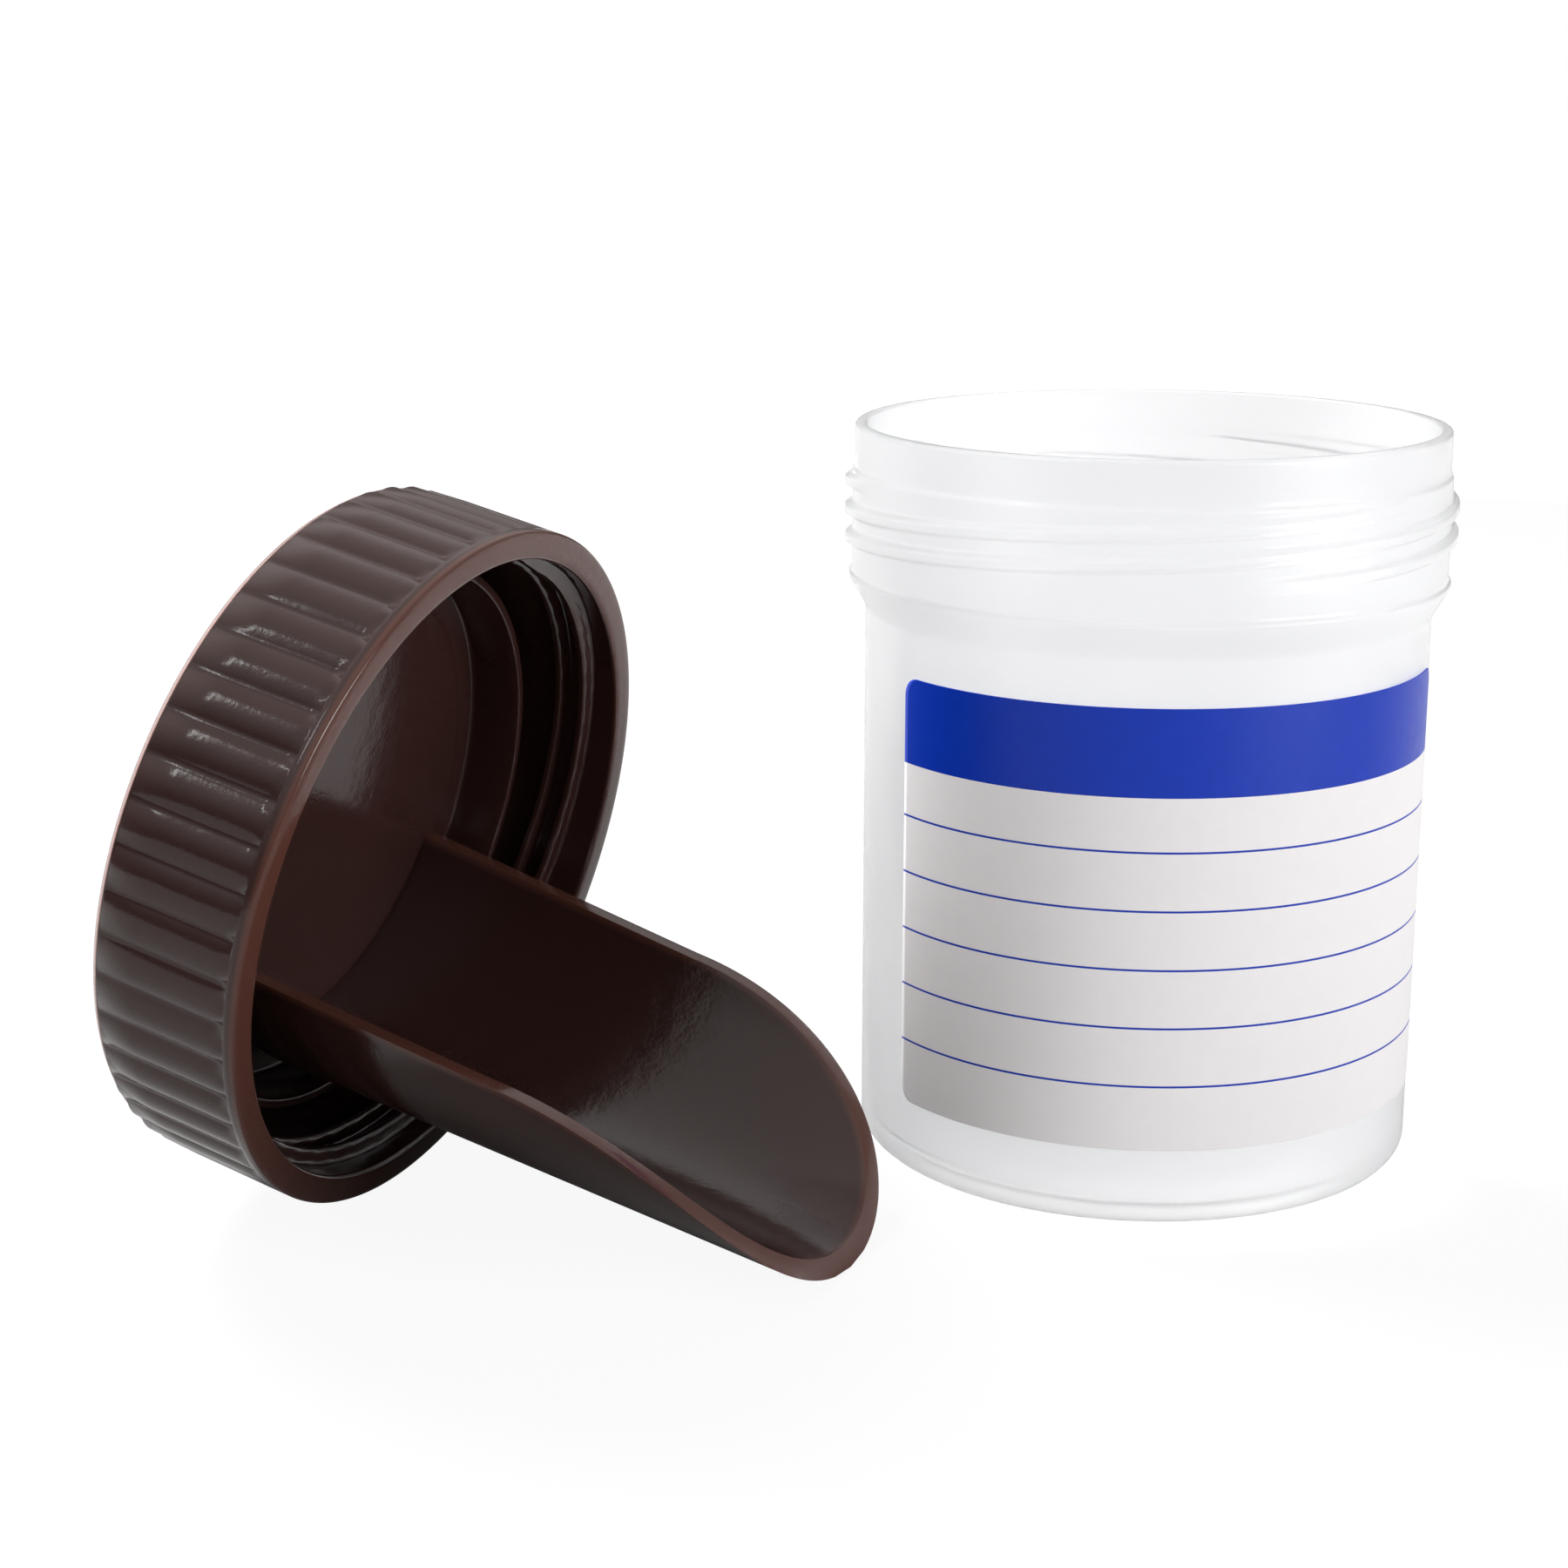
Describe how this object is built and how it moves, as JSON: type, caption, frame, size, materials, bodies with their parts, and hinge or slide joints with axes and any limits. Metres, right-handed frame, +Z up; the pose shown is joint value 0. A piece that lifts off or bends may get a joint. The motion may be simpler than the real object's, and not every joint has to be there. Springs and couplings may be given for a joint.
{
  "type": "specimen_container",
  "caption": "Wide-mouth translucent screw-neck specimen cup with a write-on label; its knurled screw cap with a built-in gutter scoop lies beside it",
  "frame": {"origin": "centre of the cup's foot ring, on the plane that the cup and the cap stand on", "axes": "+Z up along the cup's axis, out of its mouth; +X to the viewer's right, the cap lies on the -X side; +Y away from the viewer, so the label faces -Y"},
  "size_m": [0.1198, 0.0887, 0.072],
  "materials": {
    "clear_plastic": "translucent moulded plastic, smooth and slightly milky",
    "cap_plastic": "opaque dark brown moulded plastic, glossy",
    "label_film": "smooth coated white film with a blue header and blue rules"
  },
  "bodies": {
    "root": {"specimen_cup": "clear_plastic", "screw_cap_with_scoop": "cap_plastic", "write_on_label": "label_film"}
  },
  "joints": []
}
